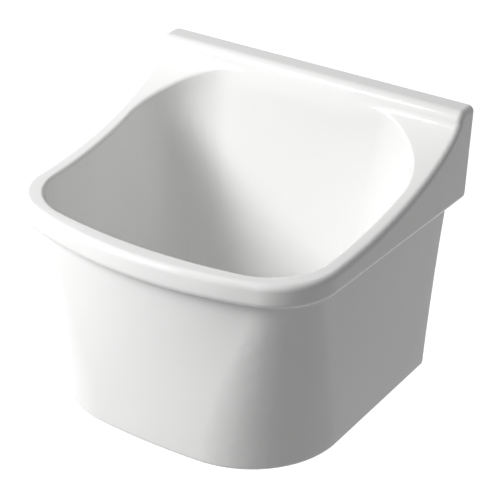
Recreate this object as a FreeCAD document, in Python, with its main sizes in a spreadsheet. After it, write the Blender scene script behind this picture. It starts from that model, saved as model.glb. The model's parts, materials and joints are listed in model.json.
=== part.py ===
import FreeCAD, Part
import math
import os
from types import SimpleNamespace

import Sketcher

Vector = FreeCAD.Vector

# Driving dimensions in millimetres, angles in degrees, by the name of their cell.
# Heights are above the underside of the ceramic, depths are from the wall.
SIZES = {
    # Basin, outside
    "width": 500.0,
    "depth": 470.0,
    "height": 424.0,
    "rim_height": 316.0,
    "rim_band": 36.0,
    "rim_overhang": 18.0,
    "rim_taper": 1.8,
    "rim_bow_radius": 530.0,
    "rim_corner_radius": 98.0,
    "ledge_depth": 46.0,
    "nose_radius": 14.0,
    "sweep_run": 314.0,
    "sweep_front_handle": 192.0,
    "sweep_top_handle": 27.0,
    "wall_gap": 18.0,
    "base_inset": 30.5,
    "base_front_inset": 45.0,
    "base_taper": 0.9,
    "base_bow_radius": 900.0,
    "base_corner_radius": 147.0,
    "flare": 0.36,
    # Basin, inside
    "floor_height": 25.0,
    "mouth_inset": 25.0,
    "mouth_front_inset": 30.0,
    "mouth_back": 58.0,
    "mouth_bow_radius": 700.0,
    "mouth_corner_radius": 92.0,
    "mouth_back_radius": 100.0,
    "mouth_splay": 4.0,
    "mouth_step": 3.0,
    "floor_inset": 48.0,
    "floor_front_inset": 70.0,
    "floor_back": 90.0,
    "floor_corner_radius": 125.0,
    "floor_back_radius": 125.0,
    "floor_fillet": 40.0,
    # Basin, edges
    "edge_radius": 9.0,
    "lip_radius": 6.0,
    "under_edge_radius": 11.0,
    "cove_radius": 6.0,
    "foot_radius": 8.0,
    "heel_radius": 10.0,
    "apron_edge_radius": 10.0,
    # Basin, hollow back and wall bolts
    "wall_thickness": 13.0,
    "skin_thickness": 14.0,
    "apron_thickness": 16.0,
    "bolt_height": 350.0,
    "bolt_spacing": 300.0,
    "bolt_hole": 14.0,
    # Outlet in the floor
    "drain_setback": 246.0,
    "outlet_hole": 90.0,
    "outlet_height": 20.0,
    "dish_radius": 108.0,
    "recess_depth": 4.0,
    "recess_clearance": 2.0,
    # Strainer cup and its seals
    "flange_diameter": 114.0,
    "seal_thickness": 2.0,
    "seal_margin": 1.0,
    "sheet": 1.0,
    "bend_radius": 2.0,
    "cup_clearance": 4.0,
    "cup_depth": 34.0,
    "shoulder_width": 10.0,
    "well_depth": 18.0,
    "drain_hole": 9.0,
    "gasket_thickness": 4.0,
    "gasket_width": 7.5,
    # Outlet body, insert and clamp screw
    "outlet_flange": 5.0,
    "outlet_wall": 3.0,
    "outlet_clearance": 2.0,
    "funnel_drop": 18.0,
    "tail_diameter": 47.8,
    "tail_wall": 3.4,
    "tail_length": 20.0,
    "hub_diameter": 18.0,
    "hub_gap": 2.0,
    "rib_thickness": 3.0,
    "insert_diameter": 13.0,
    "insert_length": 10.0,
    "insert_clearance": 0.05,
    "screw_diameter": 8.0,
    "screw_clearance": 0.4,
    "screw_end_gap": 1.0,
    "head_diameter": 17.0,
    "head_height": 12.0,
    "socket_diameter": 10.0,
    "socket_depth": 10.0,
    "slot_width": 2.0,
    "slot_depth": 3.0,
    # Basket, knob, stopper and clip
    "seat_gap": 0.3,
    "stopper_thickness": 4.0,
    "stopper_chamfer": 1.2,
    "basket_clearance": 1.0,
    "basket_sheet": 0.8,
    "basket_rim": 1.6,
    "basket_taper": 8.0,
    "basket_height": 27.0,
    "slit_width": 3.0,
    "slit_length": 14.0,
    "stem_diameter": 6.0,
    "stem_clearance": 0.05,
    "knob_diameter": 17.0,
    "knob_neck": 9.0,
    "knob_height": 24.0,
    "knob_head": 8.0,
    "knob_edge_radius": 2.6,
    "stem_reach": 16.0,
    "retainer_diameter": 18.0,
    "retainer_thickness": 1.5,
    "clip_clearance": 0.4,
    "clip_end_gap": 1.5,
    "clip_slot": 1.6,
}

# Counts of repeated features
DRAIN_HOLES = 8
OUTLET_RIBS = 4
BASKET_SLITS = 20

# Points of a line or arc, and a sketch's own axes, by their number in a constraint
START, END, CENTRE = range(1, 4)
X_AXIS, Y_AXIS = range(-1, -3, -1)
UP = Vector(0, 0, 1)
CUBIC = 3
RIGHT_ANGLE = 90.0
FULL_TURN = 360.0

# To choose edges: a match and a clear step in millimetres, points along an edge,
# and the upward share of a normal that tells a wall from a top
NEAR = 0.01
CLEAR = 1.0
EDGE_POINTS = 7
STEEP = 0.25


class Size:
    """A length or angle: its value, and the expression on the sheet that gives it."""

    def __init__(self, value, text):
        self.value = value
        self.text = text

    def __add__(self, other):
        other = as_size(other)
        return Size(self.value + other.value, f"({self.text} + {other.text})")

    def __sub__(self, other):
        other = as_size(other)
        return Size(self.value - other.value, f"({self.text} - {other.text})")

    def __mul__(self, other):
        other = as_size(other)
        return Size(self.value * other.value, f"({self.text} * {other.text})")

    def __truediv__(self, other):
        other = as_size(other)
        return Size(self.value / other.value, f"({self.text} / {other.text})")

    def __neg__(self):
        return Size(-self.value, f"(-{self.text})")


def as_size(number):
    return number if isinstance(number, Size) else Size(float(number), repr(float(number)))


def cosine(angle):
    return Size(math.cos(math.radians(angle.value)), f"cos({angle.text} * 1 deg)")


doc = FreeCAD.newDocument("laundry_sink")
sheet = doc.addObject("Spreadsheet::Sheet", "dims")
for row, (alias, number) in enumerate(SIZES.items(), start=1):
    sheet.set(f"A{row}", alias)
    sheet.set(f"B{row}", str(number))
    sheet.setAlias(f"B{row}", alias)
doc.recompute()
S = SimpleNamespace(**{alias: Size(number, f"dims.{alias}") for alias, number in SIZES.items()})


# Helpers for bodies, sketches and edges

def new_body(name, depth=None):
    """A body whose own zero is under the ceramic; the shared origin is between the wall bolts."""
    body = doc.addObject("PartDesign::Body", name)
    body.Label = name
    body.setExpression("Placement.Base.z", (-S.bolt_height).text)
    if depth is not None:
        body.setExpression("Placement.Base.y", (-depth).text)
    return body


def new_sketch(body, name, plane, offset=None):
    sketch = body.newObject("Sketcher::SketchObject", name)
    support = next(part for part in body.Origin.OriginFeatures if part.Role == plane)
    sketch.AttachmentSupport = [(support, "")]
    sketch.MapMode = "FlatFace"
    if offset is not None:
        sketch.setExpression("AttachmentOffset.Base.z", offset.text)
    return sketch


def bind(sketch, kind, *where, size, unit=""):
    """A constraint on the sketch that follows the sheet."""
    value = math.radians(size.value) if unit else size.value
    index = sketch.addConstraint(Sketcher.Constraint(kind, *where, value))
    sketch.setExpression(f"Constraints[{index}]", f"{size.text} * 1 deg" if unit else size.text)


class Plan:
    """A plan outline: tapered sides, bowed front, rounded front corners, square or round back corners."""

    def __init__(self, half, taper, back, front, bow, corner, back_corner=None):
        self.half = half
        self.taper = taper
        self.back = as_size(back)
        self.front = front
        self.bow = bow
        self.corner = corner
        self.back_corner = back_corner

    def grown(self, by, back=None):
        """The same outline moved out by a distance, with the back where it is asked for."""
        round_back = None if self.back_corner is None else self.back_corner + by
        new_back = self.back - by if back is None else back
        return Plan(self.half + by / cosine(self.taper), self.taper, new_back,
                    self.front + by, self.bow + by, self.corner + by, round_back)

    def blended(self, other, share):
        """An outline part of the way to another."""
        def mix(first, second):
            return first + (second - first) * share
        return Plan(mix(self.half, other.half), mix(self.taper, other.taper), mix(self.back, other.back),
                    mix(self.front, other.front), mix(self.bow, other.bow), mix(self.corner, other.corner))

    def draw(self, body, name, level):
        sketch = new_sketch(body, name, "XY_Plane", level)
        slope = math.tan(math.radians(self.taper.value))
        lean = math.hypot(1.0, slope)
        tilt = math.atan(slope)

        # Front corner: tangent to the side and, from inside, to the bow
        bow_y = self.bow.value - self.front.value
        reach = self.bow.value - self.corner.value
        foot = self.half.value - self.corner.value * lean
        a = slope ** 2 + 1.0
        b = 2.0 * (foot * slope - bow_y)
        c = foot ** 2 + bow_y ** 2 - reach ** 2
        corner_y = (-b - math.sqrt(b * b - 4.0 * a * c)) / (2.0 * a)
        corner_x = foot + slope * corner_y
        turn = math.atan2(corner_y - bow_y, corner_x)

        def arc(x, y, radius, start, end):
            return Part.ArcOfCircle(Part.Circle(Vector(x, y, 0), UP, radius), start, end)

        back_y = -self.back.value
        side_foot = (corner_x + self.corner.value * math.cos(tilt),
                     corner_y - self.corner.value * math.sin(tilt))
        left_front = arc(-corner_x, corner_y, self.corner.value, math.pi + tilt, math.pi - turn)
        front = arc(0, bow_y, self.bow.value, -math.pi - turn, turn)
        right_front = arc(corner_x, corner_y, self.corner.value, turn, -tilt)
        if self.back_corner is None:
            back_x = self.half.value + slope * back_y
            side_top = (back_x, back_y)
            back_arcs = []
        else:
            radius = self.back_corner.value
            centre_y = back_y - radius
            back_x = self.half.value + slope * centre_y - radius * lean
            side_top = (back_x + radius * math.cos(tilt), centre_y - radius * math.sin(tilt))
            back_arcs = [arc(-back_x, centre_y, radius, math.pi / 2, math.pi + tilt),
                         arc(back_x, centre_y, radius, -tilt, math.pi / 2)]

        def line(start, end):
            return Part.LineSegment(Vector(*start, 0), Vector(*end, 0))

        mirror_top = (-side_top[0], side_top[1])
        mirror_foot = (-side_foot[0], side_foot[1])
        chain = [line((back_x, back_y), (-back_x, back_y))]
        chain += back_arcs[:1]
        chain += [line(mirror_top, mirror_foot), left_front, front, right_front, line(side_foot, side_top)]
        chain += back_arcs[1:]
        ids = sketch.addGeometry(chain, False)
        count = len(ids)
        for step in range(count):
            square = self.back_corner is None and step in (0, count - 1)
            kind = "Coincident" if square else "Tangent"
            following = ids[(step + 1) % count]
            sketch.addConstraint(Sketcher.Constraint(kind, ids[step], END, following, START))
        back = ids[0]
        left, left_arc, bow, right_arc, right = ids[2:-1] if back_arcs else ids[1:]
        tip = sketch.addGeometry(Part.Point(Vector(0, -self.front.value, 0)), True)
        rules = [("Symmetric", back, START, back, END, Y_AXIS), ("PointOnObject", bow, CENTRE, Y_AXIS),
                 ("PointOnObject", tip, START, Y_AXIS), ("PointOnObject", tip, START, bow),
                 ("Equal", left_arc, right_arc), ("Equal", left, right)]
        if back_arcs:
            rules.append(("Equal", ids[1], ids[-1]))
        for rule in rules:
            sketch.addConstraint(Sketcher.Constraint(*rule))
        bind(sketch, "DistanceY", back, START, X_AXIS, START, size=self.back)
        bind(sketch, "DistanceY", tip, START, X_AXIS, START, size=self.front)
        bind(sketch, "Radius", bow, size=self.bow)
        bind(sketch, "Radius", left_arc, size=self.corner)
        if back_arcs:
            bind(sketch, "Radius", ids[1], size=self.back_corner)
        bind(sketch, "Angle", right, size=as_size(RIGHT_ANGLE) - self.taper, unit="deg")
        bind(sketch, "Distance", X_AXIS, START, right, size=self.half * cosine(self.taper))
        return sketch


def loft(body, kind, name, sketches):
    feature = body.newObject(f"PartDesign::{kind}", name)
    feature.Profile = sketches[0]
    feature.Sections = sketches[1:]
    doc.recompute()


def fillet(body, name, radius, chosen):
    """Round the chosen edges of the body as it stands."""
    base = body.Tip
    numbered = enumerate(base.Shape.Edges, start=1)
    edges = [f"Edge{i}" for i, edge in numbered if chosen(edge, base.Shape)]
    if not edges:
        raise RuntimeError(f"{name}: no edges to round")
    feature = body.newObject("PartDesign::Fillet", name)
    feature.Base = (base, edges)
    feature.setExpression("Radius", radius.text)
    doc.recompute()


def place(sketch, shape, point, x, y):
    """Pin one point of a sketch's geometry to its place on the sketch."""
    for kind, size in (("DistanceX", x), ("DistanceY", y)):
        bind(sketch, kind, X_AXIS, START, shape, point, size=as_size(size))


def draw_polygon(sketch, corners):
    """A closed outline of straight lines whose corners follow the sheet."""
    corners = [(as_size(x), as_size(y)) for x, y in corners]
    points = [Vector(x.value, y.value, 0) for x, y in corners]
    sides = [Part.LineSegment(*pair) for pair in zip(points, points[1:] + points[:1])]
    ids = sketch.addGeometry(sides, False)
    for step, (x, y) in enumerate(corners):
        sketch.addConstraint(Sketcher.Constraint("Coincident", ids[step - 1], END, ids[step], START))
        for kind, size, axis in (("DistanceX", x, Y_AXIS), ("DistanceY", y, X_AXIS)):
            if size.value == 0:
                sketch.addConstraint(Sketcher.Constraint("PointOnObject", ids[step], START, axis))
            else:
                bind(sketch, kind, X_AXIS, START, ids[step], START, size=size)
    return sketch


def revolve(body, name, corners, kind="Revolution", plane_offset=None):
    """Turn an outline of radii and heights about the upright axis, to add or to cut."""
    sketch = draw_polygon(new_sketch(body, f"{name}_profile", "XZ_Plane", plane_offset), corners)
    feature = body.newObject(f"PartDesign::{kind}", name)
    feature.Profile = sketch
    feature.ReferenceAxis = (sketch, ["V_Axis"])
    doc.recompute()


def extrude(body, kind, name, sketch, length=None, symmetric=False, reverse=False):
    """Pad or pocket a sketch, right through where no length is given."""
    feature = body.newObject(f"PartDesign::{kind}", name)
    feature.Profile = sketch
    if length is None:
        feature.Type = "ThroughAll"
    else:
        feature.setExpression("Length", length.text)
    if symmetric:
        feature.SideType = "Symmetric"
    feature.Reversed = reverse
    doc.recompute()
    return feature


def repeat_round(body, name, feature, count, axis="V_Axis"):
    """Repeat a feature all round an axis of its sketch."""
    pattern = body.newObject("PartDesign::PolarPattern", name)
    pattern.Originals = [feature]
    pattern.Axis = (feature.Profile[0], [axis])
    pattern.Angle = FULL_TURN
    pattern.Occurrences = count
    body.Tip = pattern
    doc.recompute()


def samples(edge):
    first, last = edge.ParameterRange
    step = (last - first) / (EDGE_POINTS - 1)
    return [edge.valueAt(first + step * i) for i in range(EDGE_POINTS)]


def level(points, height):
    return all(abs(point.z - height.value) < NEAR for point in points)


def on_wall(points):
    return all(abs(point.y) < NEAR for point in points)


def faces_of(edge, shape):
    return shape.ancestorsOfType(edge, Part.Face)


def normal_near(face, point):
    return face.normalAt(*face.Surface.parameter(point))


def ring_at(places):
    """Chooses the round edges that lie at the given radii and heights."""
    def chosen(edge, shape):
        points = samples(edge)
        return any(all(abs(math.hypot(point.x, point.y) - radius.value) < NEAR for point in points)
                   and level(points, height) for radius, height in places)
    return chosen


def ring(name, inside, outside, bottom, top):
    body = new_body(name, S.drain_setback)
    revolve(body, f"{name}_ring", [(inside, bottom), (outside, bottom), (outside, top), (inside, top)])
    return body


# Plans of the basin, outside and inside
rim = Plan(S.width / 2, S.rim_taper, 0, S.depth, S.rim_bow_radius, S.rim_corner_radius)
body_top = rim.grown(-S.rim_overhang, back=S.wall_gap)
base_half = S.width / 2 - S.base_inset
body_base = Plan(base_half, S.base_taper, S.wall_gap, S.depth - S.base_front_inset,
                 S.base_bow_radius, S.base_corner_radius)
body_middle = body_base.blended(body_top, S.flare)
under_rim = S.rim_height - S.rim_band

mouth = Plan(S.width / 2 - S.mouth_inset / cosine(S.rim_taper), S.rim_taper, S.mouth_back,
             S.depth - S.mouth_front_inset, S.mouth_bow_radius, S.mouth_corner_radius, S.mouth_back_radius)
mouth_top = mouth.grown(S.mouth_splay, back=S.ledge_depth + S.mouth_step)
floor = Plan(S.width / 2 - S.floor_inset, S.base_taper, S.floor_back, S.depth - S.floor_front_inset,
             S.base_bow_radius, S.floor_corner_radius, S.floor_back_radius)

# Outside of the basin, with a slab for the rim and the raised back
basin = new_body("basin")
loft(basin, "AdditiveLoft", "bowl_outside",
     [body_base.draw(basin, "base_plan", as_size(0)),
      body_middle.draw(basin, "middle_plan", under_rim / 2),
      body_top.draw(basin, "top_plan", under_rim)])
extrude(basin, "Pad", "rim_slab", rim.draw(basin, "rim_plan", under_rim), length=S.height - under_rim)


def draw_sweep(body):
    """The side view of the sweep from rim to ledge, with the round nose at its top."""
    sketch = new_sketch(body, "sweep_profile", "YZ_Plane")
    clear = S.nose_radius
    front = -(S.depth + clear)
    over = S.height + clear
    start = -(S.ledge_depth + S.sweep_run)
    nose_foot = S.height - S.nose_radius
    nose_back = S.nose_radius - S.ledge_depth
    poles = [(start, S.rim_height), (start + S.sweep_front_handle, S.rim_height),
             (-S.ledge_depth, nose_foot - S.sweep_top_handle), (-S.ledge_depth, nose_foot)]
    corners = [(nose_back, S.height), (nose_back, over), (front, over), (front, S.rim_height), poles[0]]

    def at(x, y):
        return Vector(as_size(x).value, as_size(y).value, 0)

    ends = [CUBIC + 1, CUBIC + 1]
    curve = Part.BSplineCurve()
    curve.buildFromPolesMultsKnots([at(*pole) for pole in poles], ends, [0.0, 1.0], False, CUBIC)
    nose_circle = Part.Circle(at(nose_back, nose_foot), UP, S.nose_radius.value)
    nose = Part.ArcOfCircle(nose_circle, math.pi / 2, math.pi)
    lines = [Part.LineSegment(at(*one), at(*two)) for one, two in zip(corners, corners[1:])]
    curve_id, nose_id, *line_ids = sketch.addGeometry([curve, nose] + lines, False)
    sketch.exposeInternalGeometry(curve_id)
    first_pole = line_ids[-1] + 1
    for step, pole in enumerate(poles):
        place(sketch, first_pole + step, CENTRE, *pole)
    joins = [(curve_id, END, nose_id, END), (nose_id, START, line_ids[0], START)]
    joins += [(one, END, two, START) for one, two in zip(line_ids, line_ids[1:] + [curve_id])]
    for join in joins:
        sketch.addConstraint(Sketcher.Constraint("Coincident", *join))
    sketch.addConstraint(Sketcher.Constraint("Vertical", nose_id, CENTRE, nose_id, START))
    place(sketch, nose_id, CENTRE, nose_back, nose_foot)
    for line, corner in zip(line_ids, corners[1:-1]):
        place(sketch, line, END, *corner)
    doc.recompute()
    return sketch


extrude(basin, "Pocket", "sweep", draw_sweep(basin), symmetric=True)


def is_foot(edge, shape):
    return level(samples(edge), as_size(0))


def is_cove(edge, shape):
    """Edges where the bowl's outside meets the rim's underside."""
    below = any(face.BoundBox.ZMin < under_rim.value - CLEAR for face in faces_of(edge, shape))
    return level(samples(edge), under_rim) and below


def is_heel(edge, shape):
    return level(samples(edge), under_rim) and on_wall(samples(edge))


def is_outline(edge, shape):
    """Edges where the rim's upright outside meets its top, from the front round to the wall."""
    points = samples(edge)
    if min(point.z for point in points) < S.rim_height.value - NEAR or on_wall(points):
        return False
    middle = points[len(points) // 2]
    upright = sorted(abs(normal_near(face, middle).z) < NEAR for face in faces_of(edge, shape))
    return upright == [False, True]


def is_apron_edge(edge, shape):
    points = samples(edge)
    back = all(abs(point.y + S.wall_gap.value) < NEAR for point in points)
    return back and abs(points[0].z - points[-1].z) > S.rim_band.value


def is_under_edge(edge, shape):
    """Edges where the rim's underside meets its upright outside."""
    boxes = [face.BoundBox for face in faces_of(edge, shape)]
    above = any(box.ZMin > under_rim.value - NEAR and box.ZMax > under_rim.value + NEAR for box in boxes)
    return level(samples(edge), under_rim) and above


def is_floor_edge(edge, shape):
    return level(samples(edge), S.floor_height)


def is_lip(edge, shape):
    """Edges where the inside of the bowl meets the rim's top and the sweep."""
    points = samples(edge)
    middle = points[len(points) // 2]
    border = S.edge_radius.value + CLEAR
    high = min(point.z for point in points) > S.rim_height.value - CLEAR
    between = abs(middle.x) < S.width.value / 2 - border
    within = border - S.depth.value < middle.y < -S.ledge_depth.value
    if not (high and between and within):
        return False
    lean = sorted(abs(normal_near(face, middle).z) for face in faces_of(edge, shape))
    return lean[0] < STEEP < lean[1]


# Rounded outside edges
fillet(basin, "apron_edges", S.apron_edge_radius, is_apron_edge)
fillet(basin, "foot_round", S.foot_radius, is_foot)
fillet(basin, "cove", S.cove_radius, is_cove)
fillet(basin, "heel", S.heel_radius, is_heel)
fillet(basin, "outline", S.edge_radius, is_outline)
fillet(basin, "under_edge", S.under_edge_radius, is_under_edge)

# Inside of the bowl
loft(basin, "SubtractiveLoft", "bowl_inside",
     [mouth_top.draw(basin, "mouth_top_plan", S.height), mouth.draw(basin, "mouth_plan", S.rim_height),
      floor.draw(basin, "floor_plan", S.floor_height)])
fillet(basin, "floor_round", S.floor_fillet, is_floor_edge)
fillet(basin, "lip", S.lip_radius, is_lip)

# Outlet: a dish in the floor that falls to the recess for the flange, and the hole
recess_floor = S.outlet_height - S.recess_depth
recess_radius = S.flange_diameter / 2 + S.recess_clearance
hole_radius = S.outlet_hole / 2
revolve(basin, "outlet",
        [(0, -S.recess_depth), (hole_radius, -S.recess_depth), (hole_radius, recess_floor),
         (recess_radius, recess_floor), (recess_radius, S.outlet_height),
         (S.dish_radius, S.floor_height), (0, S.floor_height)],
        kind="Groove", plane_offset=S.drain_setback)

# Hollow back: open below and behind, between the two aprons, up to the ledge
hollow = doc.addObject("PartDesign::Body", "hollow_back")
inner_top = S.height - S.skin_thickness
inner_front = -(S.ledge_depth - S.wall_thickness)
hollow_front = -(S.floor_back + S.floor_back_radius)
hollow_profile = draw_polygon(new_sketch(hollow, "hollow_profile", "YZ_Plane"),
                              [(-S.skin_thickness, -S.foot_radius), (-S.skin_thickness, inner_top),
                               (inner_front, inner_top), (inner_front, inner_top - S.skin_thickness),
                               (hollow_front, under_rim - S.rim_band), (hollow_front, -S.foot_radius)])
hollow_width = (base_half - S.apron_thickness) * 2
extrude(hollow, "Pad", "hollow_prism", hollow_profile, length=hollow_width, symmetric=True)
wall_back = S.ledge_depth + S.mouth_step - S.wall_thickness
loft(hollow, "SubtractiveLoft", "bowl_wall",
     [mouth_top.grown(S.wall_thickness, back=wall_back).draw(hollow, "wall_top_plan", S.height),
      mouth.grown(S.wall_thickness).draw(hollow, "wall_plan", S.rim_height),
      floor.grown(S.wall_thickness).draw(hollow, "wall_foot_plan", -S.foot_radius)])
cut = basin.newObject("PartDesign::Boolean", "hollow")
cut.Type = "Cut"
cut.setObjects([hollow])
doc.recompute()

# Wall bolt holes, level with the shared origin
bolt_sketch = new_sketch(basin, "bolt_holes_plan", "XZ_Plane")
for bolt_x in (-S.bolt_spacing / 2, S.bolt_spacing / 2):
    bolt_circle = Part.Circle(Vector(bolt_x.value, S.bolt_height.value, 0), UP, S.bolt_hole.value / 2)
    bolt_id = bolt_sketch.addGeometry(bolt_circle, False)
    place(bolt_sketch, bolt_id, CENTRE, bolt_x, S.bolt_height)
    bind(bolt_sketch, "Diameter", bolt_id, size=S.bolt_hole)
bolt_reach = S.skin_thickness + S.wall_gap / 2
extrude(basin, "Pocket", "bolt_holes", bolt_sketch, length=bolt_reach, reverse=True)

# Heights of the waste, from the recess down
flange_under = recess_floor + S.seal_thickness
flange_top = flange_under + S.sheet
shoulder = flange_top - S.cup_depth
well_floor = shoulder - S.well_depth
cup_under = well_floor - S.sheet
outlet_top = -S.gasket_thickness
tail_top = cup_under - S.funnel_drop
tail_end = tail_top - S.tail_length

# Radii of the waste, from the outlet hole inwards
flange_radius = S.flange_diameter / 2
cup_outside = hole_radius - S.cup_clearance
cup_inside = cup_outside - S.sheet
well_inside = cup_inside - S.shoulder_width
well_outside = well_inside + S.sheet
screw_radius = S.screw_diameter / 2
screw_hole = screw_radius + S.screw_clearance
head_radius = S.head_diameter / 2
stem_radius = S.stem_diameter / 2
stem_hole = stem_radius + S.stem_clearance


def draw_round_hole(body, name, reach, diameter):
    """A round hole in plan, some way out from the upright axis."""
    sketch = new_sketch(body, name, "XY_Plane")
    circle = sketch.addGeometry(Part.Circle(Vector(reach.value, 0, 0), UP, diameter.value / 2), False)
    sketch.addConstraint(Sketcher.Constraint("PointOnObject", circle, CENTRE, X_AXIS))
    bind(sketch, "DistanceX", X_AXIS, START, circle, CENTRE, size=reach)
    bind(sketch, "Diameter", circle, size=diameter)
    return sketch


# Strainer cup, pressed from sheet: flange, cup, shoulder and well
cup = new_body("strainer_cup", S.drain_setback)
revolve(cup, "cup_shell",
        [(screw_hole, well_floor), (well_inside, well_floor), (well_inside, shoulder), (cup_inside, shoulder),
         (cup_inside, flange_top), (flange_radius, flange_top), (flange_radius, flange_under),
         (cup_outside, flange_under), (cup_outside, shoulder - S.sheet), (well_outside, shoulder - S.sheet),
         (well_outside, cup_under), (screw_hole, cup_under)])
fillet(cup, "inner_bends", S.bend_radius,
       ring_at([(well_inside, well_floor), (cup_inside, shoulder), (cup_outside, flange_under),
                (well_outside, shoulder - S.sheet)]))
fillet(cup, "outer_bends", S.bend_radius + S.sheet,
       ring_at([(well_inside, shoulder), (cup_inside, flange_top), (cup_outside, shoulder - S.sheet),
                (well_outside, cup_under)]))
drain_reach = (head_radius + well_inside) / 2
drain_plan = draw_round_hole(cup, "drain_hole_plan", drain_reach, S.drain_hole)
drain = extrude(cup, "Pocket", "drain_hole", drain_plan)
repeat_round(cup, "drain_holes", drain, DRAIN_HOLES, axis="N_Axis")

# Seals above and below the ceramic
gasket_inside = hole_radius + S.seal_margin
gasket_outside = gasket_inside + S.gasket_width
seal_outside = flange_radius - S.seal_margin
flange_seal = ring("flange_seal", gasket_inside, seal_outside, recess_floor, flange_under)
lower_gasket = ring("lower_gasket", gasket_inside, gasket_outside, outlet_top, as_size(0))

# Outlet body: flange, bowl, and funnel with four ribs and a hub
outlet = new_body("outlet_body", S.drain_setback)
bowl_inside = cup_outside + S.outlet_clearance
bowl_outside = bowl_inside + S.outlet_wall
tail_outside = S.tail_diameter / 2
tail_inside = tail_outside - S.tail_wall
hub_radius = S.hub_diameter / 2
hub_top = cup_under - S.hub_gap
funnel_middle = (cup_under + tail_top) / 2
insert_top = tail_top + S.insert_length
insert_hole = S.insert_diameter / 2 + S.insert_clearance
bore_foot = tail_top - S.hub_gap
bore_top = hub_top + S.hub_gap / 2
flange_foot = outlet_top - S.outlet_flange
revolve(outlet, "outlet_shell",
        [(bowl_inside, outlet_top), (gasket_outside, outlet_top), (gasket_outside, flange_foot),
         (bowl_outside, flange_foot), (bowl_outside, cup_under), (tail_outside, tail_top),
         (tail_inside, tail_top), (bowl_inside, cup_under)])
wall_middle = (bowl_inside + bowl_outside) / 2
tail_middle = (tail_inside + tail_outside) / 2
rib_sketch = draw_polygon(new_sketch(outlet, "rib_profile", "XZ_Plane"),
                          [(0, funnel_middle), ((wall_middle + tail_middle) / 2, funnel_middle),
                           (tail_middle, tail_top), (0, tail_top)])
rib = extrude(outlet, "Pad", "rib", rib_sketch, length=S.rib_thickness, symmetric=True)
repeat_round(outlet, "ribs", rib, OUTLET_RIBS)
revolve(outlet, "hub", [(0, tail_top), (hub_radius, tail_top), (hub_radius, hub_top), (0, hub_top)])
revolve(outlet, "hub_bore",
        [(0, bore_foot), (insert_hole, bore_foot), (insert_hole, insert_top), (screw_hole, insert_top),
         (screw_hole, bore_top), (0, bore_top)], kind="Groove")

# Tail for the trap, and the insert in the hub
tail = ring("tail_pipe", tail_inside, tail_outside, tail_end, tail_top)
insert_bore = screw_radius + S.insert_clearance
thread_insert = ring("thread_insert", insert_bore, S.insert_diameter / 2, tail_top, insert_top)

# Clamp screw: slotted head with the socket that holds the basket's clip
screw = new_body("clamp_screw", S.drain_setback)
head_top = well_floor + S.head_height
socket_radius = S.socket_diameter / 2
socket_floor = head_top - S.socket_depth
screw_end = tail_top + S.screw_end_gap
revolve(screw, "screw_shape",
        [(0, screw_end), (screw_radius, screw_end), (screw_radius, well_floor), (head_radius, well_floor),
         (head_radius, head_top), (socket_radius, head_top), (socket_radius, socket_floor),
         (0, socket_floor)])
slot_half = S.slot_width / 2
slot_sketch = draw_polygon(new_sketch(screw, "slot_plan", "XY_Plane", head_top),
                           [(-S.head_diameter, -slot_half), (S.head_diameter, -slot_half),
                            (S.head_diameter, slot_half), (-S.head_diameter, slot_half)])
extrude(screw, "Pocket", "driver_slot", slot_sketch, length=S.slot_depth)

# Stopper: a rubber disc that rests on the cup's shoulder
stopper = new_body("stopper_seal", S.drain_setback)
stopper_radius = well_inside + S.shoulder_width / 2
stopper_under = shoulder + S.seat_gap
stopper_top = stopper_under + S.stopper_thickness
revolve(stopper, "stopper_disc",
        [(stem_hole, stopper_under), (stopper_radius - S.stopper_chamfer, stopper_under),
         (stopper_radius, stopper_under + S.stopper_chamfer), (stopper_radius, stopper_top),
         (stem_hole, stopper_top)])

# Basket: tapered sheet cup with a turned-out rim and slits all round
basket = new_body("strainer_basket", S.drain_setback)
basket_rim = cup_inside - S.basket_clearance
basket_top = basket_rim - S.basket_rim
basket_foot = basket_top - S.basket_taper
basket_floor = stopper_top + S.basket_sheet
basket_height = stopper_top + S.basket_height
revolve(basket, "basket_shell",
        [(stem_hole, stopper_top), (basket_foot, stopper_top), (basket_top, basket_height - S.basket_sheet),
         (basket_rim, basket_height - S.basket_sheet), (basket_rim, basket_height),
         (basket_top - S.basket_sheet, basket_height), (basket_foot - S.basket_sheet, basket_floor),
         (stem_hole, basket_floor)])


def draw_slit(body):
    """An upright slit with round ends, centred on the axis."""
    sketch = new_sketch(body, "slit_profile", "XZ_Plane")
    radius = S.slit_width / 2
    middle = (basket_floor + basket_height) / 2
    low = middle - S.slit_length / 2 + radius
    high = middle + S.slit_length / 2 - radius
    r = radius.value

    def arc(height, start, end):
        return Part.ArcOfCircle(Part.Circle(Vector(0, height.value, 0), UP, r), start, end)

    def side(x, one, two):
        return Part.LineSegment(Vector(x, one.value, 0), Vector(x, two.value, 0))

    left, foot, right, head = sketch.addGeometry(
        [side(-r, high, low), arc(low, math.pi, 2 * math.pi),
         side(r, low, high), arc(high, 0, math.pi)], False)
    for one, two in ((left, foot), (foot, right), (right, head), (head, left)):
        sketch.addConstraint(Sketcher.Constraint("Tangent", one, END, two, START))
    for end, height in ((foot, low), (head, high)):
        sketch.addConstraint(Sketcher.Constraint("PointOnObject", end, CENTRE, Y_AXIS))
        bind(sketch, "DistanceY", X_AXIS, START, end, CENTRE, size=height)
    sketch.addConstraint(Sketcher.Constraint("Equal", foot, head))
    bind(sketch, "Radius", foot, size=radius)
    return sketch


slit = extrude(basket, "Pocket", "slit", draw_slit(basket))
repeat_round(basket, "slits", slit, BASKET_SLITS)

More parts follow.
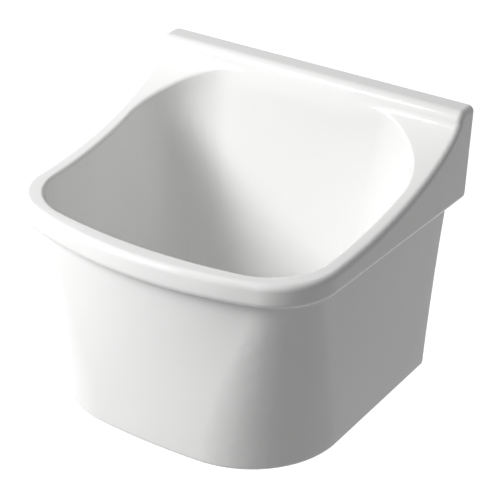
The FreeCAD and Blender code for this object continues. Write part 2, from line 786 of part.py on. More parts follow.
# Knob on the basket's floor
knob = new_body("basket_knob", S.drain_setback)
knob_top = basket_floor + S.knob_height
knob_under = knob_top - S.knob_head
knob_radius = S.knob_diameter / 2
stem_top = basket_floor + S.stem_reach
stem_bore = stem_top + S.seat_gap
revolve(knob, "knob_shape",
        [(stem_hole, basket_floor), (S.knob_neck / 2, basket_floor), (S.knob_neck / 2, knob_under),
         (knob_radius, knob_under), (knob_radius, knob_top), (0, knob_top), (0, stem_bore),
         (stem_hole, stem_bore)])
fillet(knob, "knob_round", S.knob_edge_radius, ring_at([(knob_radius, knob_top), (knob_radius, knob_under)]))

# Stem with its retaining collar and split legs
clip = new_body("stem_clip", S.drain_setback)
collar_under = stopper_under - S.retainer_thickness
leg_radius = socket_radius - S.clip_clearance
leg_end = socket_floor + S.clip_end_gap
leg_point = S.clip_end_gap
collar_radius = S.retainer_diameter / 2
revolve(clip, "stem_shape",
        [(0, leg_end), (leg_radius - leg_point, leg_end), (leg_radius, leg_end + leg_point),
         (leg_radius, collar_under), (collar_radius, collar_under), (collar_radius, stopper_under),
         (stem_radius, stopper_under), (stem_radius, stem_top), (0, stem_top)])
clip_half = S.clip_slot / 2
split_sketch = draw_polygon(new_sketch(clip, "split_profile", "XZ_Plane"),
                            [(-clip_half, leg_end - leg_point), (clip_half, leg_end - leg_point),
                             (clip_half, collar_under - leg_point), (-clip_half, collar_under - leg_point)])
extrude(clip, "Pocket", "split", split_sketch, symmetric=True)

# Every feature has to rebuild, and every piece has to be one valid solid
doc.recompute()
pieces = [basin, cup, flange_seal, lower_gasket, outlet, tail, thread_insert, screw,
          stopper, basket, knob, clip]
failed = [item.Name for item in doc.Objects if "Invalid" in item.State or "Error" in item.State]
if failed:
    raise RuntimeError(f"failed to rebuild: {failed}")
for piece in pieces:
    if piece.Shape.isNull() or not piece.Shape.isValid() or len(piece.Shape.Solids) != 1:
        raise RuntimeError(f"{piece.Label} is not one valid solid")
os.makedirs("parts", exist_ok=True)
for piece in pieces:
    piece.Shape.exportStep(f"parts/{piece.Label}.step")
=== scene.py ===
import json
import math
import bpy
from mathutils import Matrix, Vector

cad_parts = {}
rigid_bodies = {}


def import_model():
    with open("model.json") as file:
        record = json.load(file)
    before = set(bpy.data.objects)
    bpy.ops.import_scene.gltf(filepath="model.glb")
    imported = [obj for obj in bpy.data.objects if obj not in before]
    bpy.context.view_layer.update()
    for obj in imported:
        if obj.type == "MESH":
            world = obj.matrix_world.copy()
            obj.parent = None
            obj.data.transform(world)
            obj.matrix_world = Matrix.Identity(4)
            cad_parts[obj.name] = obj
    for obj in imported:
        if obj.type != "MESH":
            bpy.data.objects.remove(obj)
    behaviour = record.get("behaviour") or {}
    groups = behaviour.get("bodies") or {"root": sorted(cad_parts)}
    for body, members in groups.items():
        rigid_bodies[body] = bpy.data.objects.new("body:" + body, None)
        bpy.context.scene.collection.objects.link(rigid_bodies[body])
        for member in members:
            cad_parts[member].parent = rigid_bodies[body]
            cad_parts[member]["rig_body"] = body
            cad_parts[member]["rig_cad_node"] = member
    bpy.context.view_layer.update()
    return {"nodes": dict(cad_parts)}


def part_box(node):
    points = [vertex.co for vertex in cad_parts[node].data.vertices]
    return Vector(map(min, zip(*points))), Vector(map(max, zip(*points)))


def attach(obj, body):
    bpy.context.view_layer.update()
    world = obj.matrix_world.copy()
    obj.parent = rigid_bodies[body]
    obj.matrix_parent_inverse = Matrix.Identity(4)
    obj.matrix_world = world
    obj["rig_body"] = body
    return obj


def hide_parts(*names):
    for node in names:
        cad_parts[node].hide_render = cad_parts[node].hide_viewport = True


bl_info = {
    "name": "Wall-hung laundry sink",
    "version": (1, 0, 0),
    "blender": (4, 5, 0),
    "location": "3D View > Sidebar > Laundry Sink",
    "description": "Dresses a ceramic laundry sink and its basket waste in a plain studio",
    "category": "Object",
}

import bpy
from bpy.props import FloatProperty, FloatVectorProperty, IntProperty, PointerProperty
from mathutils import Matrix, Vector

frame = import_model()

BASIN_LOW, BASIN_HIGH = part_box("basin")

# The waste's upright axis, from the middle of the strainer cup
CUP_LOW, CUP_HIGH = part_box("strainer_cup")
DRAIN_AXIS = (CUP_LOW + CUP_HIGH) / 2

# Distances within which points count as one: in a node's mesh, and on a piece modelled here
MERGE, CLOSE = 0.000005, 0.00005

# A face looks along an axis if its normal has more than this share of it
LOOKS = 0.5

# Bends sharper than these keep a hard edge in the shading
BASIN_CREASE, THREAD_CREASE = math.radians(40), math.radians(30)

# How far bare clay reaches up from the foot, and forward from the wall
FOOT_LINE, WALL_LINE = 0.0015, 0.0008

# The back wall is eased into the ledge between two heights: in full up to one distance from the
# middle, and not at all beyond another. Its face lies between two depths, and no corner of it may
# move further than the last of these.
EASE_FOOT, EASE_TOP = 0.0, 0.064
EASE_FULL, EASE_END = 0.08, 0.155
EASE_FRONT, EASE_REAR = -0.1, -0.04
EASE_ROWS, EASE_COLUMNS = 10, 16
EASE_MOST = 0.005

# The wall's depth is read this far off the cuts, and its slope over this length
EASE_SHY, EASE_RUN = 0.0003, 0.0009

# The thread's base and crest as shares of its pitch, and how far its base lies in the wall
THREAD_BASE, THREAD_CREST, THREAD_SINK = 0.86, 0.2, 0.0004

# Sides of the tail's circle, and the width of the broken edge at its foot
TAIL_SIDES, TAIL_BREAK = 96, 0.0005

# How fine the patterns in the finishes are, as the scale of their noise
GLAZE_CLOUD, GLAZE_WAVE, GLAZE_SHINE, GLAZE_PEEL = 4.0, 11.0, 26.0, 240.0
CLAY_EDGE, CLAY_GRAIN = 120.0, 900.0
STEEL_SMEAR, STEEL_RINGS = 60.0, 2600.0
METAL_MARKS = 180.0
RUBBER_DUST, RUBBER_TOOTH = 70.0, 1400.0
PLASTIC_FLOW, PLASTIC_SKIN = 45.0, 1100.0
FLOOR_CLOUD = 1.5

# Pointiness at which the glaze starts to thin along an edge, and at which it is thinnest
EDGE_START, EDGE_END = 0.51, 0.60
GLAZE_IOR = 1.52

# Roughness of a finish at its smoothest, and how much rougher a finish gets in places
PLATING_ROUGHNESS, BRASS_ROUGHNESS = 0.05, 0.22
MOULDING_ROUGHNESS, ACETAL_ROUGHNESS = 0.36, 0.30
GLAZE_ROUGHER, CLAY_ROUGHER, SKIN_ROUGHER = 0.06, 0.6, 0.12

# Second colours, into which the finishes shade
STEEL_SHADE = (0.52, 0.52, 0.52)
PLATING_SHADE = (0.60, 0.61, 0.63)
BRASS_SHADE = (0.42, 0.27, 0.10)
RUBBER_BLOOM = (0.060, 0.058, 0.055)
SEAL_BLOOM = (0.50, 0.50, 0.47)
PLASTIC_SHADE = 0.9

# The floor's paint, and how bright it looks to the eye, where one is white
FLOOR_PAINT, FLOOR_SHADE = (0.38, 0.38, 0.38), (0.36, 0.36, 0.36)
FLOOR_SIDE, FLOOR_ROUGHNESS, FLOOR_GLOW = 40.0, 0.9, 0.92
WHITE = (1, 1, 1, 1)
SENSOR_WIDTH = 36.0


class SinkGlazeSettings(bpy.types.PropertyGroup):
    """Finish of the ceramic."""

    glaze: FloatVectorProperty(
        name="Glaze", description="Colour of the glaze where it lies thick",
        subtype="COLOR", size=3, min=0, max=1, default=(0.90, 0.90, 0.895))
    thin_glaze: FloatVectorProperty(
        name="Thin glaze", description="Colour of the glaze where it has run thin, as along an edge",
        subtype="COLOR", size=3, min=0, max=1, default=(0.87, 0.866, 0.855))
    bisque: FloatVectorProperty(
        name="Bisque", description="Colour of the bare fired clay under the foot and against the wall",
        subtype="COLOR", size=3, min=0, max=1, default=(0.72, 0.67, 0.59))
    gloss: FloatProperty(
        name="Roughness", description="Roughness of the glaze at its smoothest",
        subtype="FACTOR", min=0, max=1, default=0.10)
    waviness: FloatProperty(
        name="Waviness", description="How far the glaze lies from flat over a hand's breadth",
        min=0, max=1, default=0.05)


class SinkWasteSettings(bpy.types.PropertyGroup):
    """Finishes of the waste, and the thread on its tail."""

    thread_pitch: FloatProperty(
        name="Thread pitch", description="Rise of the tail's thread in one turn, eleven turns to the inch",
        subtype="DISTANCE", unit="LENGTH", precision=5, default=0.0254 / 11)
    thread_depth: FloatProperty(
        name="Thread depth", description="From the crest of the thread to its root",
        subtype="DISTANCE", unit="LENGTH", precision=5, default=0.00148)
    thread_turns: IntProperty(
        name="Thread turns", description="Whole turns of the thread", min=1, default=7)
    thread_lead: FloatProperty(
        name="Thread lead", description="Plain length of the tail below its thread",
        subtype="DISTANCE", unit="LENGTH", precision=5, default=0.0012)
    tail_wall: FloatProperty(
        name="Tail wall", description="From the crest of the thread to the bore",
        subtype="DISTANCE", unit="LENGTH", precision=5, default=0.0034)
    steel: FloatVectorProperty(
        name="Steel", description="Colour of the spun stainless sheet",
        subtype="COLOR", size=3, min=0, max=1, default=(0.62, 0.62, 0.61))
    plating: FloatVectorProperty(
        name="Plating", description="Colour of the bright plated knob",
        subtype="COLOR", size=3, min=0, max=1, default=(0.74, 0.75, 0.76))
    brass: FloatVectorProperty(
        name="Brass", description="Colour of the brass insert",
        subtype="COLOR", size=3, min=0, max=1, default=(0.68, 0.48, 0.20))
    rubber: FloatVectorProperty(
        name="Rubber", description="Colour of the black rubber",
        subtype="COLOR", size=3, min=0, max=1, default=(0.022, 0.022, 0.023))
    pale_seal: FloatVectorProperty(
        name="Pale seal", description="Colour of the soft seal under the flange",
        subtype="COLOR", size=3, min=0, max=1, default=(0.62, 0.62, 0.59))
    moulding: FloatVectorProperty(
        name="Moulding", description="Colour of the moulded outlet and its tail",
        subtype="COLOR", size=3, min=0, max=1, default=(0.76, 0.76, 0.74))
    acetal: FloatVectorProperty(
        name="Acetal", description="Colour of the stem and its split legs",
        subtype="COLOR", size=3, min=0, max=1, default=(0.66, 0.65, 0.60))


class SinkStageSettings(bpy.types.PropertyGroup):
    """Camera, floor and light."""

    azimuth: FloatProperty(
        name="Azimuth", description="Turn of the camera round the sink, from straight in front",
        subtype="ANGLE", default=math.radians(31.29))
    elevation: FloatProperty(
        name="Elevation", description="Height of the camera above the horizon",
        subtype="ANGLE", default=math.radians(28.44))
    roll: FloatProperty(
        name="Roll", description="Turn of the camera about its own line of sight",
        subtype="ANGLE", default=math.radians(2.26))
    distance: FloatProperty(
        name="Distance", description="From the camera to the point it looks at",
        subtype="DISTANCE", unit="LENGTH", default=2.23)
    target: FloatVectorProperty(
        name="Target", description="The point that the camera looks at",
        subtype="XYZ", size=3, default=(0.016, -0.2, -0.1411))
    lens: FloatProperty(
        name="Lens", description="Focal length in millimetres on a 36 mm sensor",
        default=113.86)
    floor_height: FloatProperty(
        name="Floor", description="Height of the floor, with the rim at a usual 0.85 m above it",
        subtype="DISTANCE", unit="LENGTH", default=-0.884)
    lamp_target: FloatVectorProperty(
        name="Lamp target", description="The point that the key lamp is aimed at",
        subtype="XYZ", size=3, default=(0, -0.23, -0.12))
    lamp_distance: FloatProperty(
        name="Lamp distance", description="From the key lamp to the point it is aimed at",
        subtype="DISTANCE", unit="LENGTH", default=2.8)
    lamp_side: FloatProperty(
        name="Lamp side", description="Side of the key lamp's square face",
        subtype="DISTANCE", unit="LENGTH", default=1.2)
    key_azimuth: FloatProperty(
        name="Key azimuth", description="Turn of the key lamp round the sink, from straight in front",
        subtype="ANGLE", default=math.radians(-41.5))
    key_elevation: FloatProperty(
        name="Key elevation", description="Height of the key lamp above the horizon",
        subtype="ANGLE", default=math.radians(32))
    key_power: FloatProperty(
        name="Key power", description="Power of the key lamp",
        subtype="POWER", default=83.0)
    fill: FloatProperty(
        name="Fill", description="Strength of the even light from all round",
        min=0, default=0.22)


def plug(tree, socket, value):
    """Give a socket a value, or link it to another node's output."""
    if isinstance(value, bpy.types.NodeSocket):
        tree.links.new(value, socket)
    else:
        socket.default_value = value


def feed(tree, node, **sockets):
    """Give a node's sockets, by name, their values or links."""
    for name, value in sockets.items():
        plug(tree, node.inputs[name.replace("_", " ")], value)


def new_material(name):
    """A material with its shader, and the coordinates that its patterns read."""
    material = bpy.data.materials.new(name)
    material.use_nodes = True
    tree = material.node_tree
    shader = tree.nodes["Principled BSDF"]
    coords = tree.nodes.new("ShaderNodeTexCoord").outputs["Object"]
    return material, tree, shader, coords


def add_node(tree, kind, settings=None, **sockets):
    """A node with its settings and what its sockets take."""
    made = tree.nodes.new(kind)
    for name, value in (settings or {}).items():
        setattr(made, name, value)
    feed(tree, made, **sockets)
    return made


def noise(tree, coords, scale, detail=3.0, rough=0.5):
    """A cloudy pattern."""
    made = add_node(tree, "ShaderNodeTexNoise", Vector=coords, Scale=scale, Detail=detail, Roughness=rough)
    return made.outputs["Fac"]


def spread(tree, value, low, high, start=0.3, end=0.7):
    """A pattern stretched to run from one number to another."""
    made = add_node(tree, "ShaderNodeMapRange", Value=value, From_Min=start, From_Max=end,
                    To_Min=low, To_Max=high)
    return made.outputs["Result"]


def math_node(tree, operation, first, second=0.0):
    """The result of a sum on one or two values."""
    made = add_node(tree, "ShaderNodeMath", {"operation": operation})
    plug(tree, made.inputs[0], first)
    plug(tree, made.inputs[1], second)
    return made.outputs["Value"]


def mix_colour(tree, share, first, second):
    """The first colour with a share of the second."""
    made = add_node(tree, "ShaderNodeMix", {"data_type": "RGBA"})
    sockets = {socket.identifier: socket for socket in made.inputs}
    plug(tree, sockets["Factor_Float"], share)
    for name, colour in (("A_Color", first), ("B_Color", second)):
        linked = isinstance(colour, bpy.types.NodeSocket)
        plug(tree, sockets[name], colour if linked else (*colour, 1))
    return next(socket for socket in made.outputs if socket.identifier == "Result_Color")


def bump(tree, height, strength, distance, under=None):
    """A relief from a pattern, laid over another relief if there is one."""
    made = add_node(tree, "ShaderNodeBump", Height=height, Strength=strength, Distance=distance)
    if under is not None:
        feed(tree, made, Normal=under)
    return made.outputs["Normal"]


def seen_by_eye(tree):
    """One for what the eye sees straight, in a reflection or through glass; nought for light that falls."""
    rays = tree.nodes.new("ShaderNodeLightPath").outputs
    straight = math_node(tree, "MAXIMUM", rays["Is Camera Ray"], rays["Is Glossy Ray"])
    return math_node(tree, "MAXIMUM", straight, rays["Is Transmission Ray"])


def glazed_ceramic(settings):
    """White glaze, slightly wavy, thin along its edges, with bare clay under the foot and on the wall."""
    material, tree, shader, coords = new_material("glazed_ceramic")
    cloud = spread(tree, noise(tree, coords, GLAZE_CLOUD, detail=2.0), low=0.0, high=0.25)
    edge = tree.nodes.new("ShaderNodeNewGeometry").outputs["Pointiness"]
    thin = spread(tree, edge, low=0.0, high=0.8, start=EDGE_START, end=EDGE_END)
    glaze = mix_colour(tree, cloud, settings.glaze, settings.thin_glaze)
    glaze = mix_colour(tree, thin, glaze, settings.thin_glaze)
    place = add_node(tree, "ShaderNodeSeparateXYZ", Vector=coords).outputs
    ragged = spread(tree, noise(tree, coords, CLAY_EDGE), low=-FOOT_LINE, high=FOOT_LINE / 2)
    height = math_node(tree, "ADD", place["Z"], ragged)
    foot = math_node(tree, "LESS_THAN", height, BASIN_LOW.z + FOOT_LINE)
    wall = math_node(tree, "GREATER_THAN", place["Y"], BASIN_HIGH.y - WALL_LINE)
    bare = math_node(tree, "MAXIMUM", foot, wall)
    grain = spread(tree, noise(tree, coords, CLAY_GRAIN, detail=4.0), low=0.0, high=0.35)
    clay = mix_colour(tree, grain, settings.bisque, settings.thin_glaze)
    shine = noise(tree, coords, GLAZE_SHINE)
    gloss = spread(tree, shine, low=settings.gloss, high=settings.gloss + GLAZE_ROUGHER)
    matt = math_node(tree, "MULTIPLY", bare, CLAY_ROUGHER)
    waves = noise(tree, coords, GLAZE_WAVE, detail=1.0)
    peel = noise(tree, coords, GLAZE_PEEL, detail=1.0)
    relief = bump(tree, waves, strength=settings.waviness, distance=0.02)
    relief = bump(tree, peel, strength=0.03, distance=0.0006, under=relief)
    feed(tree, shader, Base_Color=mix_colour(tree, bare, glaze, clay),
         Roughness=math_node(tree, "ADD", gloss, matt), Normal=relief, IOR=GLAZE_IOR)
    return material


def spun_steel(settings):
    """Stainless sheet with the fine rings that spinning and polishing leave round the axis."""
    material, tree, shader, coords = new_material("spun_steel")
    centred = add_node(tree, "ShaderNodeMapping", {"vector_type": "POINT"}, Vector=coords,
                       Location=(-DRAIN_AXIS.x, -DRAIN_AXIS.y, 0)).outputs["Vector"]
    place = add_node(tree, "ShaderNodeSeparateXYZ", Vector=centred).outputs
    square_x = math_node(tree, "MULTIPLY", place["X"], place["X"])
    square_y = math_node(tree, "MULTIPLY", place["Y"], place["Y"])
    reach = math_node(tree, "SQRT", math_node(tree, "ADD", square_x, square_y))
    ring = add_node(tree, "ShaderNodeCombineXYZ", X=reach, Y=place["Z"]).outputs["Vector"]
    lines = noise(tree, ring, STEEL_RINGS, detail=4.0, rough=0.65)
    smear = noise(tree, coords, STEEL_SMEAR)
    tint = mix_colour(tree, spread(tree, smear, low=0.0, high=0.35), settings.steel, STEEL_SHADE)
    brushed = spread(tree, lines, low=0.14, high=0.30)
    touched = spread(tree, smear, low=0.0, high=0.08)
    feed(tree, shader, Base_Color=tint, Roughness=math_node(tree, "ADD", brushed, touched),
         Normal=bump(tree, lines, strength=0.12, distance=0.00015), Metallic=1.0)
    return material


def bright_metal(name, colour, shade, roughness):
    """Plated or plain turned metal, with faint handling marks."""
    material, tree, shader, coords = new_material(name)
    marks = noise(tree, coords, METAL_MARKS, detail=5.0, rough=0.6)
    tint = mix_colour(tree, spread(tree, marks, low=0.0, high=0.5), colour, shade)
    feed(tree, shader, Base_Color=tint,
         Roughness=spread(tree, marks, low=roughness, high=roughness + SKIN_ROUGHER),
         Normal=bump(tree, marks, strength=0.04, distance=0.0002), Metallic=1.0)
    return material


def soft_rubber(name, colour, bloom):
    """Rubber with a fine moulded tooth and a dusty bloom."""
    material, tree, shader, coords = new_material(name)
    tooth = noise(tree, coords, RUBBER_TOOTH, detail=2.0)
    dust = noise(tree, coords, RUBBER_DUST, detail=5.0, rough=0.6)
    tint = mix_colour(tree, spread(tree, dust, low=0.0, high=0.6), colour, bloom)
    feed(tree, shader, Base_Color=tint, Roughness=spread(tree, dust, low=0.48, high=0.72),
         Normal=bump(tree, tooth, strength=0.25, distance=0.0003))
    return material


def moulded_plastic(name, colour, roughness):
    """Moulded plastic with a satin skin and faint flow marks."""
    material, tree, shader, coords = new_material(name)
    flow = noise(tree, coords, PLASTIC_FLOW)
    skin = noise(tree, coords, PLASTIC_SKIN, detail=2.0)
    shade = tuple(part * PLASTIC_SHADE for part in colour)
    tint = mix_colour(tree, spread(tree, flow, low=0.0, high=0.5), colour, shade)
    feed(tree, shader, Base_Color=tint,
         Roughness=spread(tree, flow, low=roughness, high=roughness + SKIN_ROUGHER),
         Normal=bump(tree, skin, strength=0.12, distance=0.0002))
    return material


def white_moulding(colours):
    """The white plastic of the outlet and its tail, made once for both."""
    made = bpy.data.materials.get("white_moulding")
    return made or moulded_plastic("white_moulding", colours.moulding, MOULDING_ROUGHNESS)


def pick(piece, kind, wanted):
    """Open a piece in edit mode with only those faces, edges or corners selected that are wanted."""
    bpy.ops.object.mode_set(mode="EDIT")
    bpy.ops.mesh.select_mode(type=kind)
    bpy.ops.mesh.select_all(action="DESELECT")
    bpy.ops.object.mode_set(mode="OBJECT")
    parts = {"VERT": piece.data.vertices, "EDGE": piece.data.edges, "FACE": piece.data.polygons}
    for part in parts[kind]:
        part.select = wanted(part)
    bpy.ops.object.mode_set(mode="EDIT")


def dress(node, material):
    """Give a node its finish."""
    mesh = frame["nodes"][node].data
    mesh.materials.clear()
    mesh.materials.append(material)


def joined_copy(node, name):
    """A piece with the node's own shape, its triangles joined."""
    bpy.ops.object.select_all(action="DESELECT")
    source = frame["nodes"][node]
    source.select_set(True)
    bpy.context.view_layer.objects.active = source
    bpy.ops.object.duplicate(linked=False)
    piece = bpy.context.view_layer.objects.active
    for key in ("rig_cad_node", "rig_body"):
        del piece[key]
    piece.name = name
    piece.data.name = name
    bpy.ops.object.parent_clear(type="CLEAR_KEEP_TRANSFORM")
    bpy.ops.mesh.customdata_custom_splitnormals_clear()
    bpy.ops.object.mode_set(mode="EDIT")
    bpy.ops.mesh.select_all(action="SELECT")
    bpy.ops.mesh.remove_doubles(threshold=MERGE)
    bpy.ops.object.mode_set(mode="OBJECT")
    return piece


def finish_smooth(piece, material, crease):
    """Shade a piece's curves smooth and give it its finish."""
    bpy.ops.object.shade_smooth_by_angle(angle=crease)
    bpy.ops.object.modifier_add(type="WEIGHTED_NORMAL")
    weighted = piece.modifiers[-1]
    weighted.keep_sharp = True
    bpy.ops.object.modifier_apply(modifier=weighted.name)
    piece.data.materials.clear()
    piece.data.materials.append(material)


def bearing(azimuth, elevation):
    """The direction of something that stands round the sink, where nought is straight in front."""
    level = math.cos(elevation)
    return Vector((math.sin(azimuth) * level, -math.cos(azimuth) * level, math.sin(elevation)))


class SINK_OT_basin(bpy.types.Operator):
    """Glaze the basin, ease its back wall into the ledge and shade its curves smooth"""

    bl_idname = "sink.basin"
    bl_label = "Glaze the Basin"

    def execute(self, context):
        material = glazed_ceramic(context.scene.sink_glaze)
        piece = joined_copy("basin", "basin_glazed")
        self.ease_back_wall(piece)
        finish_smooth(piece, material, BASIN_CREASE)
        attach(piece, "sink")
        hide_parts("basin")
        return {"FINISHED"}

    def ease_back_wall(self, piece):
        """Round the lip at the top of the back wall, so that the wall runs softly into the ledge."""
        reach = EASE_TOP - EASE_FOOT
        for row in range(EASE_ROWS + 1):
            self.cut_back_wall(piece, (0, 0, EASE_FOOT + reach * row / EASE_ROWS), (0, 0, 1))
        for column in range(EASE_COLUMNS + 1):
            self.cut_back_wall(piece, (EASE_END * (2 * column / EASE_COLUMNS - 1), 0, 0), (1, 0, 0))
        pick(piece, "FACE", lambda face: self.on_back_wall(piece, face))
        bpy.ops.mesh.quads_convert_to_tris()
        bpy.ops.object.mode_set(mode="OBJECT")
        corners = set()
        for face in piece.data.polygons:
            if self.on_back_wall(piece, face):
                corners.update(face.vertices)
        depths = {corner: self.eased_depth(piece, piece.data.vertices[corner].co) for corner in corners}
        for corner, depth in depths.items():
            piece.data.vertices[corner].co.y = depth
        piece.data.update()

    def on_back_wall(self, piece, face):
        """Whether a face belongs to the front of the back wall and reaches the part that is eased."""
        if face.normal.y > -LOOKS:
            return False
        corners = [piece.data.vertices[corner].co for corner in face.vertices]
        rear = max(corner.y for corner in corners)
        return EASE_FRONT < rear < EASE_REAR and max(corner.z for corner in corners) > EASE_FOOT

    def cut_back_wall(self, piece, place, across):
        """Cut the back wall's faces along a plane, for more corners to move."""
        pick(piece, "FACE", lambda face: self.on_back_wall(piece, face))
        bpy.ops.mesh.bisect(plane_co=place, plane_no=across)
        bpy.ops.object.mode_set(mode="OBJECT")

    def eased_depth(self, piece, corner):
        """Depth of a corner on a soft curve that keeps the slopes of the wall below and the round above."""
        if abs(corner.x) >= EASE_END or not EASE_FOOT < corner.z < EASE_TOP:
            return corner.y

        def depth(height):
            start = Vector((corner.x + EASE_SHY, DRAIN_AXIS.y, height))
            return piece.ray_cast(start, Vector((0, 1, 0)))[1].y

        reach = EASE_TOP - EASE_FOOT
        foot = depth(EASE_FOOT - EASE_SHY)
        top = depth(EASE_TOP + EASE_SHY)
        foot_slope = (foot - depth(EASE_FOOT - EASE_SHY - EASE_RUN)) / EASE_RUN * reach
        top_slope = (depth(EASE_TOP + EASE_SHY + EASE_RUN) - top) / EASE_RUN * reach
        rise = (corner.z - EASE_FOOT) / reach
        above = rise * rise * (3 - 2 * rise)
        soft = (foot * (1 - above) + top * above
                + foot_slope * rise * (1 - rise) ** 2 - top_slope * rise ** 2 * (1 - rise))
        move = max(-EASE_MOST, min(EASE_MOST, soft - corner.y))
        fade = min(1, (EASE_END - abs(corner.x)) / (EASE_END - EASE_FULL))
        return corner.y + fade * fade * (3 - 2 * fade) * move


class SINK_OT_metalwork(bpy.types.Operator):
    """Finish the metal pieces of the waste"""

    bl_idname = "sink.metalwork"
    bl_label = "Finish the Metalwork"

    def execute(self, context):
        colours = context.scene.sink_waste
        steel = spun_steel(colours)
        for node in ("strainer_cup", "strainer_basket", "clamp_screw"):
            dress(node, steel)
        plating = bright_metal("bright_plating", colours.plating, PLATING_SHADE, PLATING_ROUGHNESS)
        dress("basket_knob", plating)
        brass = bright_metal("plain_brass", colours.brass, BRASS_SHADE, BRASS_ROUGHNESS)
        dress("thread_insert", brass)
        return {"FINISHED"}


class SINK_OT_seals(bpy.types.Operator):
    """Finish the rubber seals and the stopper"""

    bl_idname = "sink.seals"
    bl_label = "Finish the Seals"

    def execute(self, context):
        colours = context.scene.sink_waste
        black = soft_rubber("black_rubber", colours.rubber, RUBBER_BLOOM)
        for node in ("lower_gasket", "stopper_seal"):
            dress(node, black)
        dress("flange_seal", soft_rubber("pale_seal", colours.pale_seal, SEAL_BLOOM))
        return {"FINISHED"}


class SINK_OT_mouldings(bpy.types.Operator):
    """Finish the moulded outlet and the basket's stem"""

    bl_idname = "sink.mouldings"
    bl_label = "Finish the Mouldings"

    def execute(self, context):
        colours = context.scene.sink_waste
        dress("outlet_body", white_moulding(colours))
        dress("stem_clip", moulded_plastic("pale_acetal", colours.acetal, ACETAL_ROUGHNESS))
        return {"FINISHED"}


class SINK_OT_tail(bpy.types.Operator):
    """Model the tail with the thread that takes the trap's nut"""

    bl_idname = "sink.tail"
    bl_label = "Thread the Tail"

    def execute(self, context):
        sizes = context.scene.sink_waste
        low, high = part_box("tail_pipe")
        crest = (high.x - low.x) / 2
        root = crest - sizes.thread_depth
        ridge = self.add_ridge(low.z + sizes.thread_lead, root, crest, sizes)
        piece = self.add_tube(low.z, high.z, root, crest - sizes.tail_wall)
        bpy.ops.object.modifier_add(type="BOOLEAN")
        union = piece.modifiers[-1]
        union.operation = "UNION"
        union.solver = "EXACT"
        union.object = ridge
        bpy.ops.object.modifier_apply(modifier=union.name)
        bpy.data.objects.remove(ridge)
        bpy.ops.object.shade_smooth_by_angle(angle=THREAD_CREASE)
        piece.data.materials.append(white_moulding(sizes))
        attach(piece, "sink")
        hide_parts("tail_pipe")
        return {"FINISHED"}

    def add_tube(self, foot, top, outside, inside):
        """A plain pipe, with its outer edge broken at the foot."""
        bpy.ops.object.select_all(action="DESELECT")
        bpy.ops.mesh.primitive_cylinder_add(
            vertices=TAIL_SIDES, radius=outside, depth=top - foot,
            location=(DRAIN_AXIS.x, DRAIN_AXIS.y, (foot + top) / 2))
        tube = bpy.context.view_layer.objects.active
        tube.name = "tail_threaded"
        tube.data.name = "tail_threaded"
        bpy.ops.object.transform_apply(location=True, rotation=True, scale=True)
        pick(tube, "FACE", lambda face: abs(face.normal.z) > LOOKS)
        bpy.ops.mesh.inset(thickness=outside - inside)
        bpy.ops.mesh.bridge_edge_loops()
        bpy.ops.mesh.select_all(action="SELECT")
        bpy.ops.mesh.normals_make_consistent(inside=False)

        def on_foot(edge):
            ends = [tube.data.vertices[end].co for end in edge.vertices]
            low = all(end.z < foot + CLOSE for end in ends)
            return low and all((end - DRAIN_AXIS).to_2d().length > outside - CLOSE for end in ends)

        bpy.ops.object.mode_set(mode="OBJECT")
        pick(tube, "EDGE", on_foot)
        bpy.ops.mesh.bevel(offset=TAIL_BREAK, segments=2)
        bpy.ops.object.mode_set(mode="OBJECT")
        return tube

    def add_ridge(self, foot, root, crest, sizes):
        """One thread of a blunt V, wound up the pipe from a height, with its base sunk into the wall."""
        inner = root - THREAD_SINK
        middle = foot + sizes.thread_pitch / 2
        bpy.ops.object.select_all(action="DESELECT")
        bpy.ops.mesh.primitive_plane_add(size=1, rotation=(math.pi / 2, 0, 0))
        ridge = bpy.context.view_layer.objects.active
        ridge.scale = (crest - inner, sizes.thread_pitch * THREAD_BASE, 1)
        ridge.location = ((crest + inner) / 2, 0, middle)
        bpy.ops.object.transform_apply(location=True, rotation=True, scale=True)
        pick(ridge, "VERT", lambda corner: corner.co.x > root)
        bpy.ops.transform.resize(value=(1, 1, THREAD_CREST / THREAD_BASE), center_override=(crest, 0, middle))
        bpy.ops.mesh.select_all(action="SELECT")
        bpy.ops.mesh.delete(type="ONLY_FACE")
        bpy.ops.object.mode_set(mode="OBJECT")
        bpy.ops.object.modifier_add(type="SCREW")
        winding = ridge.modifiers[-1]
        winding.screw_offset = sizes.thread_pitch
        winding.iterations = sizes.thread_turns
        winding.steps = winding.render_steps = TAIL_SIDES
        bpy.ops.object.modifier_apply(modifier=winding.name)
        ridge.location = (DRAIN_AXIS.x, DRAIN_AXIS.y, 0)
        bpy.ops.object.transform_apply(location=True, rotation=True, scale=True)
        bpy.ops.object.mode_set(mode="EDIT")
        bpy.ops.mesh.select_all(action="SELECT")
        bpy.ops.mesh.fill_holes(sides=4)
        bpy.ops.mesh.normals_make_consistent(inside=False)
        bpy.ops.object.mode_set(mode="OBJECT")
        return ridge


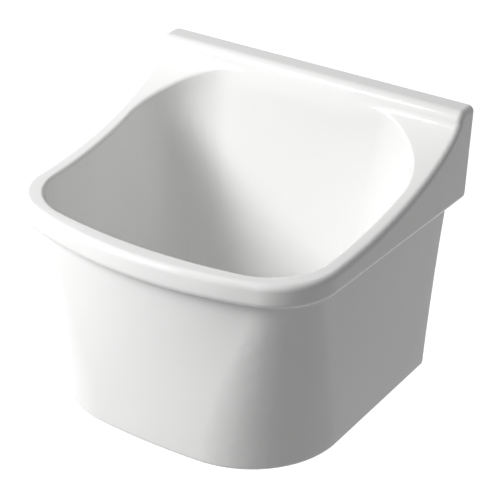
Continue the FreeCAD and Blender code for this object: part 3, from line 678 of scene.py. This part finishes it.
class SINK_OT_stage(bpy.types.Operator):
    """Set the camera, the floor and the light"""

    bl_idname = "sink.stage"
    bl_label = "Set the Stage"

    def execute(self, context):
        settings = context.scene.sink_stage
        self.set_camera(context, settings)
        self.set_floor(settings)
        self.set_light(context, settings)
        context.scene.view_settings.view_transform = "Standard"
        return {"FINISHED"}

    def set_camera(self, context, settings):
        """A camera on its bearing, aimed at its target and rolled about its line of sight."""
        back = bearing(settings.azimuth, settings.elevation)
        right = (-back).cross(Vector((0, 0, 1))).normalized()
        up = right.cross(-back)
        across = right * math.cos(settings.roll) + up * math.sin(settings.roll)
        above = up * math.cos(settings.roll) - right * math.sin(settings.roll)
        turn = Matrix((across, above, back)).transposed().to_4x4()
        data = bpy.data.cameras.new("photo_camera")
        data.sensor_width = SENSOR_WIDTH
        data.lens = settings.lens
        camera = bpy.data.objects.new("photo_camera", data)
        context.scene.collection.objects.link(camera)
        place = Vector(settings.target) + back * settings.distance
        camera.matrix_world = Matrix.Translation(place) @ turn
        context.scene.camera = camera

    def set_floor(self, settings):
        """A pale floor that looks white and throws back less light than it seems to."""
        bpy.ops.object.select_all(action="DESELECT")
        bpy.ops.mesh.primitive_plane_add(size=FLOOR_SIDE, location=(0, 0, settings.floor_height))
        floor = bpy.context.view_layer.objects.active
        floor.name = "studio_floor"
        material, tree, shader, coords = new_material("pale_floor")
        cloud = spread(tree, noise(tree, coords, FLOOR_CLOUD), low=0.0, high=0.3)
        glow = math_node(tree, "MULTIPLY", seen_by_eye(tree), FLOOR_GLOW)
        feed(tree, shader, Base_Color=mix_colour(tree, cloud, FLOOR_PAINT, FLOOR_SHADE),
             Roughness=FLOOR_ROUGHNESS, Emission_Color=WHITE, Emission_Strength=glow)
        floor.data.materials.append(material)

    def set_light(self, context, settings):
        """One large lamp, and an even light from all round that the eye sees as white."""
        towards = bearing(settings.key_azimuth, settings.key_elevation)
        place = Vector(settings.lamp_target) + towards * settings.lamp_distance
        bpy.ops.object.light_add(type="AREA", location=place)
        key = bpy.context.view_layer.objects.active
        key.name = "key_lamp"
        key.data.shape = "SQUARE"
        key.data.size = settings.lamp_side
        key.data.energy = settings.key_power
        key.rotation_euler = (-towards).to_track_quat("-Z", "Y").to_euler()
        world = bpy.data.worlds.new("studio_light")
        context.scene.world = world
        world.use_nodes = True
        tree = world.node_tree
        strength = add_node(tree, "ShaderNodeMapRange", Value=seen_by_eye(tree),
                            To_Min=settings.fill, To_Max=1.0)
        feed(tree, tree.nodes["Background"], Color=WHITE, Strength=strength.outputs["Result"])


class SINK_PT_panel(bpy.types.Panel):
    """Lists the steps and the sizes and colours that they use"""

    bl_idname = "SINK_PT_panel"
    bl_label = "Laundry Sink"
    bl_space_type = "VIEW_3D"
    bl_region_type = "UI"
    bl_category = "Laundry Sink"

    def draw(self, context):
        for step in STEPS:
            self.layout.operator(step.bl_idname)
        for group, kind in SETTINGS.items():
            box = self.layout.box()
            for name in kind.__annotations__:
                box.prop(getattr(context.scene, group), name)


SETTINGS = {
    "sink_glaze": SinkGlazeSettings,
    "sink_waste": SinkWasteSettings,
    "sink_stage": SinkStageSettings,
}
STEPS = (
    SINK_OT_basin,
    SINK_OT_metalwork,
    SINK_OT_seals,
    SINK_OT_mouldings,
    SINK_OT_tail,
    SINK_OT_stage,
)


def register():
    for group, kind in SETTINGS.items():
        bpy.utils.register_class(kind)
        setattr(bpy.types.Scene, group, PointerProperty(type=kind))
    for kind in STEPS:
        bpy.utils.register_class(kind)
    bpy.utils.register_class(SINK_PT_panel)


def unregister():
    bpy.utils.unregister_class(SINK_PT_panel)
    for kind in reversed(STEPS):
        bpy.utils.unregister_class(kind)
    for group, kind in SETTINGS.items():
        delattr(bpy.types.Scene, group)
        bpy.utils.unregister_class(kind)


def main():
    register()
    bpy.ops.sink.basin()
    bpy.ops.sink.metalwork()
    bpy.ops.sink.seals()
    bpy.ops.sink.mouldings()
    bpy.ops.sink.tail()
    bpy.ops.sink.stage()


if __name__ == "__main__":
    main()
